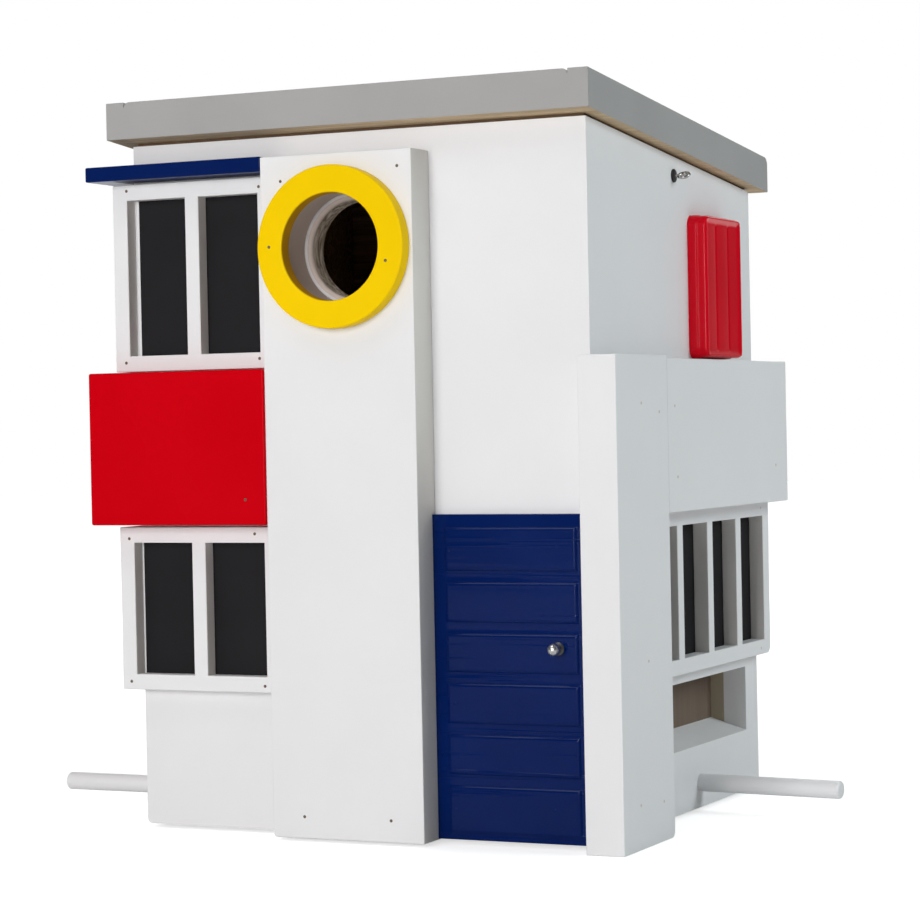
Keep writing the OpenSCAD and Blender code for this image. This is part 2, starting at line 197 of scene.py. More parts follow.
def fibres(tree, place, along, width, run, detail=2.0):
    """Noise drawn out along one axis: marks of a width and a run in millimetres."""
    stretch = [1.0, 1.0, 1.0]
    stretch[along] = width / run
    drawn = add(tree, "ShaderNodeMapping", {"Vector": place, "Scale": stretch})
    return add(
        tree,
        "ShaderNodeTexNoise",
        {"Vector": drawn.outputs[0], "Scale": 0.5 / (width * MM), "Detail": detail},
    ).outputs["Fac"]


def between(tree, value, low, high, to_low, to_high):
    """A value from low to high taken to another range, and held at its ends."""
    return add(
        tree,
        "ShaderNodeMapRange",
        {"Value": value, "From Min": low, "From Max": high, "To Min": to_low, "To Max": to_high},
    ).outputs[0]


def mixed(tree, factor, first, second):
    """Two colours mixed by a factor."""
    return add(
        tree, "ShaderNodeMix", {0: factor, 6: first, 7: second}, data_type="RGBA"
    ).outputs[2]


def paint(name, tint, along, bristle, stroke, depth, rough, cloud=0.96, grain=0.0, mirror=0.5):
    """Paint brushed on wood: marks of the bristles, as wide as bristle and as long as stroke,
    a slight clouding and, where grain is set, the wood's raised grain under the film. mirror
    is how much the film mirrors. Sizes are millimetres."""
    material, tree, shader, place = new_material(name, **{"Specular IOR Level": mirror})
    marks = fibres(tree, place, along, bristle, stroke)
    clouds = add(
        tree, "ShaderNodeTexNoise", {"Vector": place, "Scale": 1 / (55 * MM), "Detail": 3.0}
    ).outputs["Fac"]
    soft = between(tree, clouds, 0.3, 0.7, 0.0, 1.0)
    body = mixed(tree, soft, shade(tint, cloud), shade(tint, 2 - cloud))
    relief = add(
        tree, "ShaderNodeBump", {"Height": marks, "Distance": depth * MM, "Strength": 1.0}
    ).outputs[0]
    if grain:
        ridges = fibres(tree, place, along, 2.4, 95, 3.0)
        raised = between(tree, ridges, 0.56, 0.66, 0.0, 1.0)
        relief = add(
            tree,
            "ShaderNodeBump",
            {"Height": raised, "Distance": grain * MM, "Strength": 1.0, "Normal": relief},
        ).outputs[0]
    tree.links.new(body, shader.inputs["Base Color"])
    tree.links.new(relief, shader.inputs["Normal"])
    wear = between(tree, clouds, 0.3, 0.7, rough - 0.05, rough + 0.05)
    tree.links.new(wear, shader.inputs["Roughness"])
    return material


def white_upright():
    # Satin white emulsion brushed up and down on plywood: near flat, with fine upright marks
    white = colours().white
    return paint("SatinEmulsionBrushedUpright", white, Z, 0.8, 40, 0.02, 0.5, 0.985, mirror=0.2)


def white_across():
    # The same emulsion brushed along level boards and the thin strips of the frames
    white = colours().white
    return paint("SatinEmulsionBrushedAcross", white, X, 0.8, 30, 0.02, 0.5, 0.985, mirror=0.2)


def roof_grey(along):
    # Matt masonry grey brushed along the roof's edge boards: chalky, no gloss
    name = "MattGreyBrushedAcross" if along == X else "MattGreyBrushedBack"
    return paint(name, colours().grey, along, 1.1, 35, 0.05, 0.7, 0.96, mirror=0.12)


def gloss_blue():
    # Gloss alkyd brushed along the door over open-grained wood: the raised grain catches light
    return paint(
        "GlossAlkydBrushedBlue", colours().blue, X, 1.1, 60, 0.05, 0.12, 0.9, grain=0.3, mirror=0.17
    )


def canopy_blue():
    # The same gloss alkyd on planed wood: a smooth film with faint brush marks
    return paint("GlossAlkydSmoothBlue", colours().blue, X, 1.0, 50, 0.03, 0.3, 0.93, mirror=0.09)


def gloss_red():
    # Gloss alkyd on planed wood: an even, deep film
    return paint("GlossAlkydRed", colours().red, X, 1.6, 60, 0.02, 0.25, 0.97, mirror=0.04)


def shutter_red():
    # Gloss alkyd brushed down the flutes: wet-looking, with bright lines on every edge
    return paint("GlossAlkydFlutedRed", colours().shutter, Z, 0.9, 45, 0.02, 0.14, 0.95, mirror=0.1)


def satin_yellow():
    # Satin alkyd on a turned ring: even and slightly orange-peeled
    return paint("SatinAlkydYellow", colours().yellow, Z, 1.4, 6, 0.02, 0.35, 0.97, mirror=0.03)


def yellow_bore():
    # The same alkyd dragged thin into the ring's bore, where the brown wood shows through
    return paint("SatinAlkydThinInBore", linear("D29C20"), Z, 1.2, 8, 0.04, 0.5, 0.9, mirror=0.05)


def bare_plywood():
    # Birch plywood left bare: fine brown grain lines along the face, no gloss
    material, tree, shader, place = new_material("BirchPlywoodSanded", **{"Roughness": 0.75})
    lines = fibres(tree, place, X, 0.7, 30, 4.0)
    flow = between(tree, lines, 0.35, 0.65, 0.0, 1.0)
    tint = colours().plywood
    tree.links.new(
        mixed(tree, flow, shade(tint, 0.72), shade(tint, 1.12)), shader.inputs["Base Color"]
    )
    bump = add(tree, "ShaderNodeBump", {"Height": lines, "Distance": 0.06 * MM, "Strength": 1.0})
    tree.links.new(bump.outputs[0], shader.inputs["Normal"])
    return material


def stained_inner():
    # Inner boards in brown wood stain: dull, with a soft upright figure
    material, tree, shader, place = new_material("PineBoardStained", **{"Roughness": 0.8})
    figure = fibres(tree, place, Z, 1.6, 50, 4.0)
    flow = between(tree, figure, 0.3, 0.7, 0.0, 1.0)
    tint = colours().inner
    tree.links.new(
        mixed(tree, flow, shade(tint, 0.92), shade(tint, 1.1)), shader.inputs["Base Color"]
    )
    bump = add(tree, "ShaderNodeBump", {"Height": figure, "Distance": 0.08 * MM, "Strength": 1.0})
    tree.links.new(bump.outputs[0], shader.inputs["Normal"])
    return material


def sawn_bore():
    # End grain left by a hole saw and brushed thin: rough fibres with light and dark streaks
    material, tree, shader, place = new_material("HoleSawnEndGrain", **{"Roughness": 0.85})
    torn = fibres(tree, place, Z, 1.0, 5, 5.0)
    flow = between(tree, torn, 0.35, 0.65, 0.0, 1.0)
    tree.links.new(
        mixed(tree, flow, linear("A0927F"), linear("FFF6EA")), shader.inputs["Base Color"]
    )
    bump = add(tree, "ShaderNodeBump", {"Height": torn, "Distance": 0.9 * MM, "Strength": 1.0})
    tree.links.new(bump.outputs[0], shader.inputs["Normal"])
    return material


def thin_paint():
    # White emulsion wiped thin over wood inside the holes: a dull brownish white
    return paint("EmulsionWipedThin", linear("D3C6BE"), Z, 0.9, 12, 0.06, 0.7, 0.93, mirror=0.3)


def reveal_paint_and_shade():
    # One coat of white emulsion inside the window frames, a dull warm white: partly wood showing
    # through, and partly painted shade for the shaded reveals
    return paint("EmulsionOneCoatAndShade", linear("D8D4D0"), Z, 0.9, 12, 0.06, 0.7, 0.93, mirror=0.3)


def liner_paint():
    # White emulsion brushed once over stained boards, so that the brown shows through
    return paint("EmulsionOnceOverStain", linear("B5A993"), Z, 0.9, 20, 0.05, 0.7, 0.93, mirror=0.1)


def shaded_joint_paint():
    # Painted shade: the narrow joint under the roof in the brown of bare wood, darkened to stand for
    # the shadow that falls in it
    return paint("JointPaintedShade", linear("6E5846"), Z, 0.9, 12, 0.06, 0.9, 0.9, mirror=0.05)


def greyed_side_shade():
    # Painted shade: a greyer copy of the white emulsion for the tall board's sides, with fine lines
    return paint("EmulsionGreyedForSideShade", linear("E0DED9"), Z, 0.7, 20, 0.05, 0.6, 0.96, mirror=0.15)


def dark_sheet():
    # Hardboard sprayed satin black: near black, with a broad faint sheen
    material, tree, shader, place = new_material(
        "HardboardSprayedBlack", **{"Specular IOR Level": 0.06}
    )
    stipple = add(
        tree, "ShaderNodeTexNoise", {"Vector": place, "Scale": 1 / (1.2 * MM), "Detail": 2.0}
    ).outputs["Fac"]
    patches = add(
        tree, "ShaderNodeTexNoise", {"Vector": place, "Scale": 1 / (40 * MM), "Detail": 2.0}
    ).outputs["Fac"]
    tint = colours().glazing
    tree.links.new(
        mixed(tree, patches, shade(tint, 0.85), shade(tint, 1.15)), shader.inputs["Base Color"]
    )
    tree.links.new(between(tree, patches, 0.3, 0.7, 0.4, 0.5), shader.inputs["Roughness"])
    bump = add(tree, "ShaderNodeBump", {"Height": stipple, "Distance": 0.01 * MM, "Strength": 1.0})
    tree.links.new(bump.outputs[0], shader.inputs["Normal"])
    return material


def plated_steel(name, roughness, bright=1.0):
    # Plated steel, or steel near black, drawn, pressed or turned, with hair-fine tool marks
    material, tree, shader, place = new_material(name, **{"Metallic": 1.0})
    turned = add(
        tree, "ShaderNodeTexNoise", {"Vector": place, "Scale": 1 / (0.4 * MM), "Detail": 2.0}
    ).outputs["Fac"]
    tint = shade(colours().steel, bright)
    tree.links.new(
        mixed(tree, turned, shade(tint, 0.85), shade(tint, 1.05)), shader.inputs["Base Color"]
    )
    tree.links.new(
        between(tree, turned, 0.3, 0.7, roughness - 0.05, roughness + 0.05),
        shader.inputs["Roughness"],
    )
    return material


def pin_steel():
    # Panel pin heads left bare: dull brown with a skin of rust
    material, tree, shader, place = new_material(
        "PanelPinDulled", **{"Roughness": 0.6, "Specular IOR Level": 0.1}
    )
    rust = add(
        tree, "ShaderNodeTexNoise", {"Vector": place, "Scale": 1 / (0.8 * MM), "Detail": 2.0}
    ).outputs["Fac"]
    tree.links.new(
        mixed(tree, rust, linear("4A3B30"), linear("8A7766")), shader.inputs["Base Color"]
    )
    return material


# ---- Shapes ---------------------------------------------------------------------------------


def copy_of(node):
    """A CAD node's own shape, welded, with each flat face in one piece."""
    bm = bmesh.new()
    bm.from_mesh(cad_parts[node].data)
    bmesh.ops.remove_doubles(bm, verts=bm.verts, dist=TOUCH / 2)
    bmesh.ops.dissolve_limit(
        bm, angle_limit=math.radians(1), verts=bm.verts, edges=bm.edges, delimit=set()
    )
    return bm


def is_arris(edge):
    """True for an outward corner sharp enough to be sanded."""
    return len(edge.link_faces) == 2 and edge.calc_face_angle_signed(0) > math.radians(35)


def middle(edge):
    return (edge.verts[0].co + edge.verts[1].co) / 2


def runs_along(edge, axis):
    way = (edge.verts[1].co - edge.verts[0].co).normalized()
    return abs(way[axis]) > 0.9


def rear_foot(bm, low, high):
    """The edges along X at the foot of a board's rear end."""
    return [
        e
        for e in bm.edges
        if runs_along(e, X) and middle(e).z < low.z + TOUCH and middle(e).y > high.y - TOUCH
    ]


def rounded(bm, edges, radius, segments):
    """Rounds the edges over."""
    if edges and radius > 0:
        bmesh.ops.bevel(
            bm,
            geom=edges,
            offset=radius,
            offset_type="OFFSET",
            segments=segments,
            profile=0.5,
            affect="EDGES",
            clamp_overlap=True,
        )


def eased(bm, radius, chosen=None):
    """Sands the outward corners, or only the chosen ones."""
    edges = [e for e in bm.edges if is_arris(e) and (chosen is None or chosen(e))]
    rounded(bm, edges, radius, 2)


def piece(name, bm, finishes, slot, *nodes, pick=None, crease=40):
    """Turns a shape into a piece that rides on the box. pick gives a face the number of its
    finish, where a piece has more than one. Faces along an axis stay plain."""
    bmesh.ops.recalc_face_normals(bm, faces=bm.faces)
    for face in bm.faces:
        face.smooth = max(abs(part) for part in face.normal) < 0.999
        if pick:
            face.material_index = pick(face)
    mesh = bpy.data.meshes.new(name)
    bm.to_mesh(mesh)
    bm.free()
    mesh.set_sharp_from_angle(angle=math.radians(crease))
    for finish in finishes:
        mesh.materials.append(finish)
    made = bpy.data.objects.new(name, mesh)
    bpy.context.scene.collection.objects.link(made)
    weighed = made.modifiers.new("even_faces", "WEIGHTED_NORMAL")
    weighed.keep_sharp = True
    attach(made, "root")
    if nodes:
        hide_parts(*nodes)
    return made


def section(points, share):
    """The height of a section at a share of its width, from (share, height) points."""
    share = max(0.0, min(1.0, share))
    for (a, p), (b, q) in zip(points, points[1:]):
        if share <= b:
            return p + (q - p) * (share - a) / (b - a)
    return points[-1][1]


def relief(bm, us, vs, height, place):
    """A closed slab over the lines us and vs, whose face stands at height(u, v). place puts a
    point across, up and out of the slab into the box's frame."""
    grid = [[bm.verts.new(place(u, v, height(u, v))) for v in vs] for u in us]
    last_u, last_v = len(us) - 1, len(vs) - 1
    for i in range(last_u):
        for j in range(last_v):
            bm.faces.new((grid[i][j], grid[i + 1][j], grid[i + 1][j + 1], grid[i][j + 1]))
    rim = [(i, 0) for i in range(last_u)]
    rim += [(last_u, j) for j in range(last_v)]
    rim += [(i, last_v) for i in range(last_u, 0, -1)]
    rim += [(0, j) for j in range(last_v, 0, -1)]
    foot = [bm.verts.new(place(us[i], vs[j], 0.0)) for i, j in rim]
    top = [grid[i][j] for i, j in rim]
    for k in range(len(rim)):
        bm.faces.new((foot[k], foot[k - 1], top[k - 1], top[k]))
    bm.faces.new(foot)


def turned(bm, centre, axis, profile, steps=48):
    """A turned shape: profile lists (distance along the axis, radius) and may start and end
    on the axis."""
    axis = Vector(axis).normalized()
    side = axis.orthogonal().normalized()
    other = axis.cross(side)
    rings = []
    for along, radius in profile:
        if radius < TOUCH:
            rings.append([bm.verts.new(centre + axis * along)])
            continue
        turns = [2 * math.pi * k / steps for k in range(steps)]
        rings.append(
            [
                bm.verts.new(
                    centre
                    + axis * along
                    + side * (radius * math.cos(t))
                    + other * (radius * math.sin(t))
                )
                for t in turns
            ]
        )
    for first, second in zip(rings, rings[1:]):
        for k in range(steps):
            n = (k + 1) % steps
            corners = [first[k % len(first)], first[n % len(first)]]
            corners += [second[n % len(second)], second[k % len(second)]]
            corners = list(dict.fromkeys(corners))
            if len(corners) > 2:
                bm.faces.new(corners)
    return rings


def arc(centre_along, centre_radius, radius, start, end, steps):
    """Points of a rounded corner of a turned profile, between two angles in degrees."""
    points = []
    for k in range(steps + 1):
        t = math.radians(start + (end - start) * k / steps)
        points.append(
            (centre_along + radius * math.sin(t), centre_radius + radius * math.cos(t))
        )
    return points


def wire(bm, path, radius, sides=12):
    """A round wire along a path, closed at both ends."""
    rings = []
    guide = (path[1] - path[0]).orthogonal().normalized()
    for i, point in enumerate(path):
        way = (path[min(i + 1, len(path) - 1)] - path[max(i - 1, 0)]).normalized()
        guide = (guide - way * guide.dot(way)).normalized()
        other = way.cross(guide)
        ring = []
        for k in range(sides):
            t = 2 * math.pi * k / sides
            ring.append(bm.verts.new(point + (guide * math.cos(t) + other * math.sin(t)) * radius))
        rings.append(ring)
    for first, second in zip(rings, rings[1:]):
        for k in range(sides):
            n = (k + 1) % sides
            bm.faces.new((first[k], first[n], second[n], second[k]))
    bm.faces.new(rings[0])
    bm.faces.new(list(reversed(rings[-1])))


# ---- Operators ------------------------------------------------------------------------------


class BuildWalls(bpy.types.Operator):
    """Builds the four walls and the floor board"""

    bl_idname = "nest_box.walls"
    bl_label = "Walls and floor"

    # The rebate under the roof, whose faces carry painted shade for the dark joint: its greatest
    # depth, and a height that all of it is above
    REBATE = 3.0
    REBATE_LOW = 200.0

    def execute(self, context):
        white, wood, rough = white_upright(), bare_plywood(), sawn_bore()
        # dark is the painted shade of the joint under the roof
        worn, dark = thin_paint(), shaded_joint_paint()
        hole_low, hole_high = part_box("entrance_ring")
        hole = (hole_low + hole_high) / 2
        bore = (hole_high.x - hole_low.x) / 3
        inside = (HALF_W - WALL_T, BACK - WALL_T)

        def outer_corner(edge):
            at = middle(edge)
            return abs(abs(at.x) - HALF_W) < TOUCH and abs(abs(at.y) - BACK) < TOUCH

        def mouth(edge):
            return (middle(edge) - Vector((hole.x, FRONT, hole.z))).length < bore

        def finish(face):
            at = face.calc_center_median()
            if math.hypot(at.x - hole.x, at.z - hole.z) < bore and at.y < FRONT + WALL_T:
                flat = abs(face.normal.y)
                return 2 if flat < 0.1 else 3 if flat < 0.99 else 0
            deep = (max(HALF_W - abs(at.x), 0.0), max(BACK - abs(at.y), 0.0))
            sideways = abs(face.normal.z) < 0.5
            rebate = sideways and TOUCH < min(deep) < self.REBATE * MM
            # Painted shade: the rebate's faces under the roof take the dark joint paint
            if rebate and at.z > self.REBATE_LOW * MM:
                return 4
            room = abs(at.x) < inside[0] + TOUCH and abs(at.y) < inside[1] + TOUCH
            return 1 if room else 0

        def left_foot(edge):
            at = middle(edge)
            low = at.z < WALL_LOW.z + TOUCH and at.x < -HALF_W + TOUCH
            return low and runs_along(edge, Y) and is_arris(edge)

        for node in ("front_wall", "back_wall", "left_wall", "right_wall"):
            bm = copy_of(node)
            rounded(bm, [e for e in bm.edges if left_foot(e)], sizes().foot_corner, 5)
            lip = [e for e in bm.edges if is_arris(e) and mouth(e)]
            rounded(bm, lip, sizes().bore_lip, 4)
            eased(bm, sizes().ease, outer_corner)
            finishes = (white, wood, rough, worn, dark)
            piece(node + "_painted", bm, finishes, "white_paint", node, pick=finish)
        floor = copy_of("floor_board")
        eased(floor, sizes().ease)
        piece("floor_board_sanded", floor, (wood,), "raw_plywood", "floor_board")
        return {"FINISHED"}


class BuildRoof(bpy.types.Operator):
    """Builds the roof board and the four boards round its edge"""

    bl_idname = "nest_box.roof"
    bl_label = "Roof"

    def execute(self, context):
        across, back, wood = roof_grey(X), roof_grey(Y), bare_plywood()

        def underside(face):
            return 1 if face.normal.z < -0.8 else 0

        def upper(edge):
            return any(face.normal.z > 0.8 for face in edge.link_faces)

        for node in ("roof_front_fascia", "roof_back_fascia"):
            bm = copy_of(node)
            ends = [e for e in bm.edges if runs_along(e, Y) and is_arris(e) and upper(e)]
            rounded(bm, ends, sizes().roof_end, 5)
            eased(bm, sizes().ease, lambda edge: not runs_along(edge, Z))
            piece(node + "_painted", bm, (across, wood), "grey_paint", node, pick=underside)
        for node in ("roof_left_fascia", "roof_right_fascia"):
            bm = copy_of(node)
            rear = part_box(node)[1].y
            corner = [
                e
                for e in bm.edges
                if runs_along(e, X) and is_arris(e) and upper(e) and middle(e).y > rear - MM
            ]
            rounded(bm, corner, sizes().roof_corner, 6)
            eased(bm, sizes().ease, lambda edge: not runs_along(edge, Z))
            piece(node + "_painted", bm, (back, wood), "grey_paint", node, pick=underside)
        bm = copy_of("roof_board")
        piece(
            "roof_board_painted_above",
            bm,
            (across, wood),
            "raw_plywood",
            "roof_board",
            pick=lambda face: 0 if face.normal.z > 0.8 else 1,
        )
        return {"FINISHED"}


class BuildFrontBoards(bpy.types.Operator):
    """Builds the tall board, the left balcony and the canopy"""

    bl_idname = "nest_box.front_boards"
    bl_label = "Front boards"

    def execute(self, context):
        ring_low, ring_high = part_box("entrance_ring")
        centre = (ring_low + ring_high) / 2
        reach = (ring_high.x - ring_low.x) / 2
        bm = copy_of("tall_front_board")
        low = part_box("tall_front_board")[0]
        toe = [
            e
            for e in bm.edges
            if runs_along(e, Y) and (middle(e) - Vector((low.x, middle(e).y, low.z))).length < MM
        ]
        rounded(bm, toe, sizes().board_corner, 4)
        eased(bm, sizes().ease)

        def finish(face):
            at = face.calc_center_median()
            near = math.hypot(at.x - centre.x, at.z - centre.z) < reach
            if near and abs(face.normal.y) < 0.5:
                return 1
            # Painted shade: the sides facing along X get the greyer white
            return 2 if abs(face.normal.x) > 0.9 else 0

        piece(
            "tall_front_board_painted",
            bm,
            (white_upright(), thin_paint(), greyed_side_shade()),
            "white_paint",
            "tall_front_board",
            pick=finish,
        )
        red, blue = gloss_red(), canopy_blue()
        for node, finish, slot, scale in (
            ("front_red_board", red, "red_paint", 1.6),
            ("left_red_board", red, "red_paint", 1.6),
            ("blue_canopy_front", blue, "blue_paint", 1.2),
            ("blue_canopy_left", blue, "blue_paint", 1.2),
        ):
            bm = copy_of(node)
            eased(bm, sizes().ease * scale)
            piece(node + "_painted", bm, (finish,), slot, node)
        return {"FINISHED"}


class BuildRightBoards(bpy.types.Operator):
    """Builds the corner post and the right balcony"""

    bl_idname = "nest_box.right_boards"
    bl_label = "Corner post and right balcony"

    def execute(self, context):
        white = white_upright()
        low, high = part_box("corner_post")
        bm = copy_of("corner_post")
        rounded(bm, rear_foot(bm, low, high), sizes().post_corner, 5)
        eased(bm, sizes().ease)
        piece("corner_post_painted", bm, (white,), "white_paint", "corner_post")
        bm = copy_of("right_balcony_board")
        eased(bm, sizes().ease)
        piece("right_balcony_painted", bm, (white,), "white_paint", "right_balcony_board")
        return {"FINISHED"}


class BuildWindows(bpy.types.Operator):
    """Builds the window frames and the dark sheets behind them"""

    bl_idname = "nest_box.windows"
    bl_label = "Windows"

    FRAMES = (
        "front_upper_window_frame",
        "front_lower_window_frame",
        "left_upper_window_frame",
        "left_lower_window_frame",
        "back_upper_window_frame",
        "back_lower_window_frame",
        "slatted_window_frame",
    )
    # A frame's inner faces lie further in from its outline than this
    SKIN = 2.0

    def execute(self, context):
        white, reveal_shaded = white_across(), reveal_paint_and_shade()
        for node in self.FRAMES:
            low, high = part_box(node)
            size = high - low
            thin = X if size.x < size.y else Y
            wide = Y if thin == X else X
            bm = copy_of(node)
            if node == "slatted_window_frame":
                rounded(bm, rear_foot(bm, low, high), sizes().frame_corner, 6)
            eased(bm, sizes().ease * 0.8)

            def finish(face, low=low, high=high, wide=wide):
                at = face.calc_center_median()
                skin = self.SKIN * MM
                inner_wide = low[wide] + skin < at[wide] < high[wide] - skin
                inner_high = low.z + skin < at.z < high.z - skin
                flank = abs(face.normal[wide]) > 0.8
                # Painted shade, in part: the inner flanks take the darker reveal paint
                return 1 if flank and inner_wide and inner_high else 0

            piece(node + "_painted", bm, (white, reveal_shaded), "white_paint", node, pick=finish)
        dark = dark_sheet()
        for node in (
            "front_window_sheets",
            "left_window_sheets",
            "back_window_sheets",
            "slatted_window_sheet",
        ):
            piece(node + "_sprayed", copy_of(node), (dark,), "dark_sheet", node)
        return {"FINISHED"}


class BuildDoor(bpy.types.Operator):
    """Builds the panelled door and its knob"""

    bl_idname = "nest_box.door"
    bl_label = "Door and knob"

    # Heights of the panels from the foot up, and the plain margins beside, above and below them
    PANELS = (20.3, 17.2, 17.2, 16.7, 17.2, 18.6)
    SIDE, HEAD, FOOT = 5.7, 5.3, 2.8
    # How far in the door's own edge is worn, and how deep
    WORN = (0.3, 0.25)
    # The knob's foot thickness and neck radius
    KNOB_FOOT, KNOB_NECK = 0.8, 1.2
    # The bevel's own section: share of its width against share of the panel's rise
    BEVEL = ((0.0, 0.0), (0.12, 0.3), (0.45, 0.72), (0.75, 0.95), (1.0, 1.0))

    def execute(self, context):
        low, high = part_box("blue_door")
        rise = sizes().panel_rise
        bevel = sizes().panel_bevel
        base = (high.y - low.y) - rise
        width = high.x - low.x
        tall = high.z - low.z
        clear = tall - (sum(self.PANELS) + self.HEAD + self.FOOT) * MM
        gap = clear / (len(self.PANELS) - 1)
        rows = []
        foot = self.FOOT * MM
        for panel in self.PANELS:
            rows.append((foot, foot + panel * MM))
            foot += panel * MM + gap
        left, right = self.SIDE * MM, width - self.SIDE * MM
        steps = [bevel * share for share, _ in self.BEVEL]
        edge = self.WORN[0] * MM
        us = {0.0, edge, width - edge, width}
        us.update(left + s for s in steps)
        us.update(right - s for s in steps)
        vs = {0.0, edge, tall - edge, tall}
        for start, end in rows:
            vs.update(start + s for s in steps)
            vs.update(end - s for s in steps)

        def height(u, v):
            worn = self.WORN[1] * MM if u in (0.0, width) or v in (0.0, tall) else 0.0
            inset = -1.0
            for start, end in rows:
                inset = max(inset, min(u - left, right - u, v - start, end - v))
            return base - worn + rise * section(self.BEVEL, inset / bevel)

        bm = bmesh.new()
        lines = sorted(us), sorted(vs)
        relief(bm, *lines, height, lambda u, v, h: Vector((low.x + u, high.y - h, low.z + v)))
        piece("blue_door_panelled", bm, (gloss_blue(),), "blue_paint", "blue_door", crease=60)
        self.knob()
        return {"FINISHED"}

    def knob(self):
        """A turned steel knob: a dark foot, a thin neck and a bright ball."""
        low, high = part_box("door_knob")
        ball = (high.x - low.x) / 2
        face = Vector(((low.x + high.x) / 2, high.y, (low.z + high.z) / 2))
        thick = self.KNOB_FOOT * MM
        neck = self.KNOB_NECK * MM
        reach = (high.y - low.y) - ball
        profile = [(0.0, 0.0), (0.0, ball), (thick * 0.6, ball), (thick, ball * 0.86)]
        profile += [(thick, neck)]
        bm = bmesh.new()
        turned(bm, face, (0, -1, 0), profile, 40)
        dark = plated_steel("SteelPressedDulled", 0.4, 0.35)
        piece("door_knob_foot", bm, (dark,), "steel", "door_knob")
        start = math.degrees(math.asin(neck / ball))
        profile = [(thick * 0.5, neck)]
        turns = 16
        for k in range(turns + 1):
            t = math.radians(180 - start - (180 - start) * k / turns)
            profile.append((reach + ball * math.cos(t), ball * math.sin(t)))
        bm = bmesh.new()
        turned(bm, face, (0, -1, 0), profile, 40)
        bright = plated_steel("NickelPlateTurned", 0.3, 1.25)
        piece("door_knob_turned", bm, (bright,), "steel", "door_knob")


class BuildEntrance(bpy.types.Operator):
    """Builds the ring round the entrance"""

    bl_idname = "nest_box.entrance"
    bl_label = "Entrance ring"

    # The opening's radius as a share of the ring's outer radius
    OPENING = 22.75 / 34.5

    def execute(self, context):
        low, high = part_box("entrance_ring")
        outer = (high.x - low.x) / 2
        inner = outer * self.OPENING
        thick = high.y - low.y
        ease = sizes().ease * 1.6
        centre = Vector(((low.x + high.x) / 2, high.y, (low.z + high.z) / 2))
        profile = [(0.0, inner), (0.0, outer), (thick - ease, outer)]
        profile += arc(thick - ease, outer - ease, ease, 0, 90, 4)[1:]
        profile += [(thick, inner + ease)]
        profile += [(thick - ease * 0.3, inner + ease * 0.3), (thick - ease, inner), (0.0, inner)]
        bm = bmesh.new()
        turned(bm, centre, (0, -1, 0), profile, 128)
        bmesh.ops.remove_doubles(bm, verts=bm.verts, dist=TOUCH / 2)

        def bore(face):
            at = face.calc_center_median() - centre
            return 1 if math.hypot(at.x, at.z) < inner + TOUCH and abs(face.normal.y) < 0.3 else 0

        finishes = (satin_yellow(), yellow_bore())
        piece("entrance_ring_painted", bm, finishes, "yellow_paint", "entrance_ring", pick=bore)
        return {"FINISHED"}


class BuildShutters(bpy.types.Operator):
    """Builds the two fluted shutters"""

    bl_idname = "nest_box.shutters"
    bl_label = "Shutters"

    # The moulded edge's section: share of its width against share of the shutter's thickness
    EDGE = (
        (0.0, 0.4),
        (0.025, 0.46),
        (0.07, 0.51),
        (0.08, 0.56),
        (0.085, 0.82),
        (0.11, 0.9),
        (0.16, 0.96),
        (0.24, 0.992),
        (0.32, 1.0),
        (0.4, 0.985),
        (0.55, 0.93),
        (0.75, 0.9),
        (1.0, 0.89),
    )
    FLUTES = 2
    FLUTE_W, FLUTE_DEEP = 2.4, 0.55
    # Where the lines of a flute's hollow lie across it, as shares of half its width
    FLUTE_LINES = (-1.0, -0.6, -0.25, 0.0, 0.25, 0.6, 1.0)

    def execute(self, context):
        red = shutter_red()
        for node, out in (("right_red_shutter", 1), ("left_red_shutter", -1)):
            self.shutter(node, out, red)
        return {"FINISHED"}

    def shutter(self, node, out, finish):
        low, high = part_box(node)
        wall = low.x if out > 0 else high.x
        width, tall, thick = high.y - low.y, high.z - low.z, high.x - low.x
        edge = sizes().shutter_bevel
        radius = sizes().shutter_corner
        steps = [edge * share for share, _ in self.EDGE]
        half = self.FLUTE_W * MM / 2
        flutes = [width * (i + 1) / (self.FLUTES + 1) for i in range(self.FLUTES)]
        cuts = [f + half * share for f in flutes for share in self.FLUTE_LINES]
        us = sorted({*steps, *[width - s for s in steps], *cuts})
        vs = sorted({*steps, *[tall - s for s in steps]})

        def height(u, v):
            inset = min(u, width - u, v, tall - v)
            cut = 0.0
            if inset >= edge * 0.999:
                near = min(abs(u - f) for f in flutes)
                cut = self.FLUTE_DEEP * MM * max(0.0, 1 - (near / half) ** 2)
            return thick * section(self.EDGE, inset / edge) - cut

        def place(u, v, h):
            """Out of the wall, with the outline's corners drawn in to a round."""
            side = 1 if u > width / 2 else -1
            end = 1 if v > tall / 2 else -1
            hub_u = width / 2 + side * (width / 2 - radius)
            hub_v = tall / 2 + end * (tall / 2 - radius)
            a, b = side * (u - hub_u) / radius, end * (v - hub_v) / radius
            if a > 0 and b > 0:
                u = hub_u + side * radius * a * math.sqrt(1 - b * b / 2)
                v = hub_v + end * radius * b * math.sqrt(1 - a * a / 2)
            return Vector((wall + out * h, low.y + u, low.z + v))

        bm = bmesh.new()
        relief(bm, us, vs, height, place)
        piece(node + "_moulded", bm, (finish,), "red_paint", node, crease=75)


